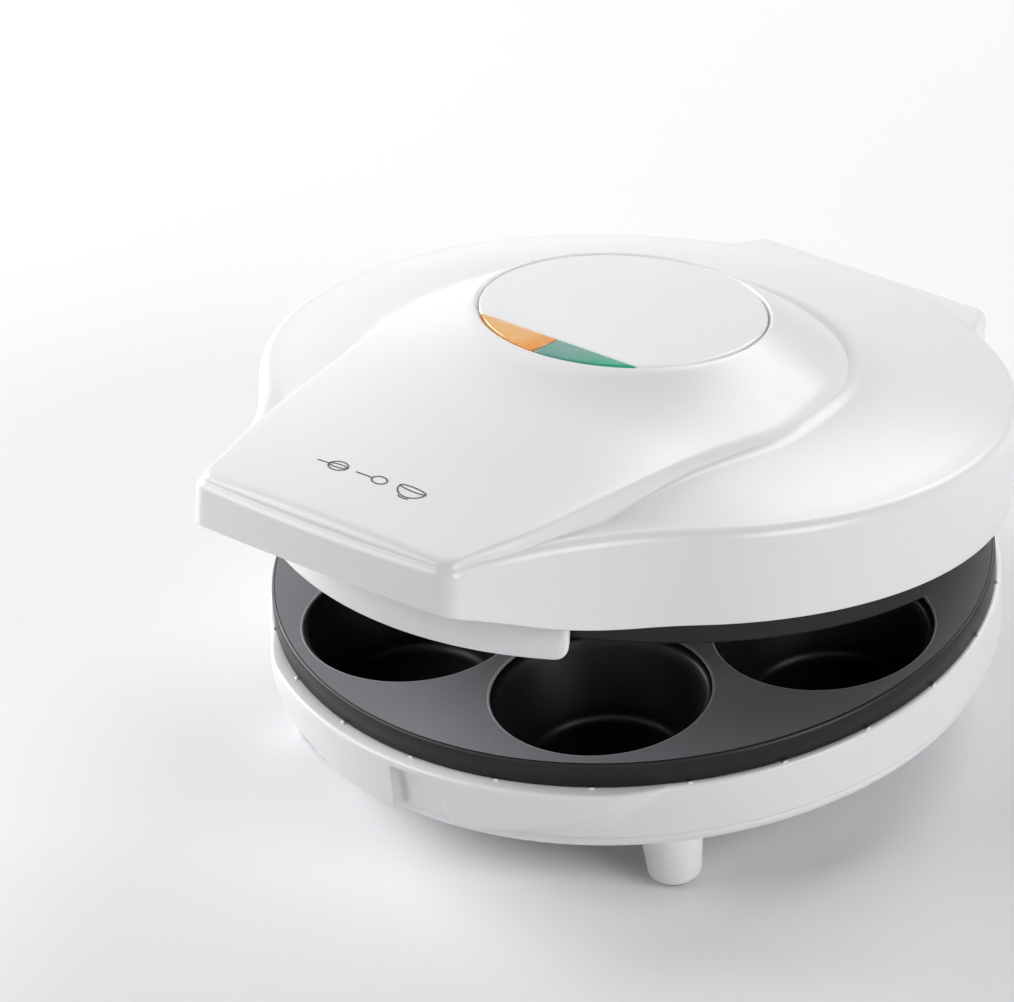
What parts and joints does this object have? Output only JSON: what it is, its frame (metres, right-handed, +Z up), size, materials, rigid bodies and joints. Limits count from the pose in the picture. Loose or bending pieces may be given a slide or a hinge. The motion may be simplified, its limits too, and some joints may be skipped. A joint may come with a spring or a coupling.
{
  "type": "cupcake maker",
  "caption": "Countertop cupcake maker with round clamshell housings, non-stick plates with deep cups, a forward handle, indicator lenses and a rear-hinged lid",
  "frame": {"origin": "on the table plane under the middle of the machine's box in its stored pose", "axes": "+Z up, -Y to the front where the handle is, +X to the right seen from the front, hinge line along X at the back"},
  "size_m": [0.224, 0.2662, 0.1407],
  "materials": {
    "white_plastic": "moulded white plastic with a soft gloss",
    "badge_plastic": "moulded white plastic with a soft gloss, bare",
    "nonstick_plate": "cast aluminium with a black non-stick coating",
    "pad_rubber": "grey moulded rubber",
    "element_steel": "steel-sheathed tubular heating element",
    "terminal_metal": "plated terminals with ceramic beads",
    "sheet_steel": "bright pressed sheet steel",
    "screw_steel": "zinc-plated steel",
    "black_plastic": "heat-resistant black plastic",
    "block_plastic": "cream terminal plastic",
    "amber_lens": "translucent amber plastic",
    "green_lens": "translucent green plastic",
    "lamp_glass": "small glass lamps"
  },
  "bodies": {
    "base": {"base_housing": "white_plastic", "base_bottom_cover": "white_plastic", "foot_pads": "pad_rubber", "lower_baking_plate": "nonstick_plate", "lower_heating_element": "element_steel", "lower_element_terminals": "terminal_metal", "lower_element_clamps": "sheet_steel", "lower_clamp_screws": "screw_steel", "lower_plate_screws": "screw_steel", "lower_reflector": "sheet_steel", "lower_thermostat": "black_plastic", "thermal_fuse": "terminal_metal", "base_terminal_block": "block_plastic", "cord_gland": "black_plastic", "cover_screws": "screw_steel", "hinge_pins": "screw_steel"},
    "lid": {"lid_housing": "white_plastic", "handle_lower_cover": "white_plastic", "handle_cover_screws": "screw_steel", "upper_baking_plate": "nonstick_plate", "upper_heating_element": "element_steel", "upper_element_terminals": "terminal_metal", "upper_element_clamps": "sheet_steel", "upper_clamp_screws": "screw_steel", "upper_plate_screws": "screw_steel", "upper_reflector": "sheet_steel", "frame_screws": "screw_steel", "upper_thermostat": "black_plastic", "lid_terminal_block": "block_plastic", "badge_disc": "badge_plastic", "amber_lens": "amber_lens", "green_lens": "green_lens", "lamp_holder": "block_plastic", "neon_lamps": "lamp_glass"}
  },
  "joints": [
    {"name": "lid_hinge", "type": "hinge", "parent": "base", "child": "lid", "pos_m": [0, 0.12508, 0.0433], "axis": [-1, 0, 0], "range_deg": [-10.9, 84]}
  ]
}
